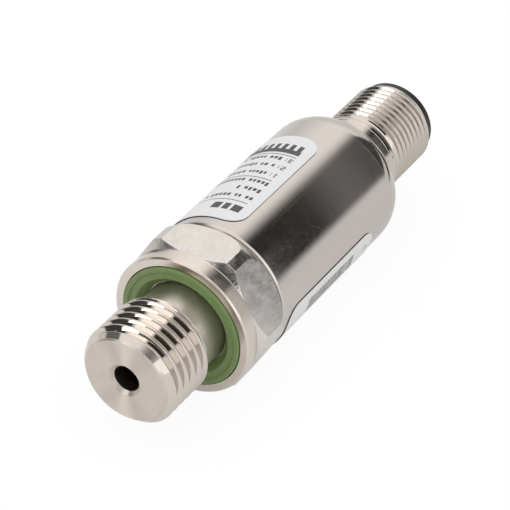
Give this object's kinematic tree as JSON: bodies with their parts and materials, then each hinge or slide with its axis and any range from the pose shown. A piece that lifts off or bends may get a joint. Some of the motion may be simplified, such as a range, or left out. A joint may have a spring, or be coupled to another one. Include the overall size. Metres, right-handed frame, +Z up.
{
  "type": "pressure sensor",
  "caption": "Stainless steel pressure sensor lying on its hexagon: threaded stud with a sealing ring, smooth can with labels and a threaded round plug neck.",
  "frame": {"origin": "on the sensor's axis, in the plane of the collar's sealing face", "axes": "+X along the axis from the stud to the plug, +Z up with the sensor lying on a flat of its hexagon, +Y to the left seen from the stud"},
  "size_m": [0.0652, 0.021, 0.019],
  "materials": {
    "turned_steel": "turned, bright",
    "satin_steel": "satin, ground",
    "green_elastomer": "matt",
    "black_plastic": "fine matt",
    "black_elastomer": "matt",
    "gold_plate": "gold plated",
    "board_laminate": "solder mask",
    "gauge_film": "thin film",
    "chip_black": "moulded",
    "ceramic_tan": "ceramic",
    "flex_amber": "polyimide film",
    "spring_steel": "rolled strip",
    "label_white": "polyester label"
  },
  "bodies": {
    "root": {"process_port": "turned_steel", "seal_ring": "green_elastomer", "housing": "satin_steel", "connector_sleeve": "turned_steel", "contact_carrier": "black_plastic", "carrier_seal": "black_elastomer", "contact_pin_1": "gold_plate", "contact_pin_2": "gold_plate", "contact_pin_3": "gold_plate", "contact_pin_4": "gold_plate", "connector_board": "board_laminate", "pressure_cell": "turned_steel", "gauge_film": "gauge_film", "bond_wires": "gold_plate", "cell_board": "board_laminate", "board_frame": "black_plastic", "main_board": "board_laminate", "signal_chip": "chip_black", "output_chip": "chip_black", "filter_capacitors": "ceramic_tan", "chip_resistors": "chip_black", "surge_diodes": "chip_black", "flex_lead": "flex_amber", "earth_spring": "spring_steel", "name_label": "label_white", "code_label": "label_white"}
  },
  "joints": []
}
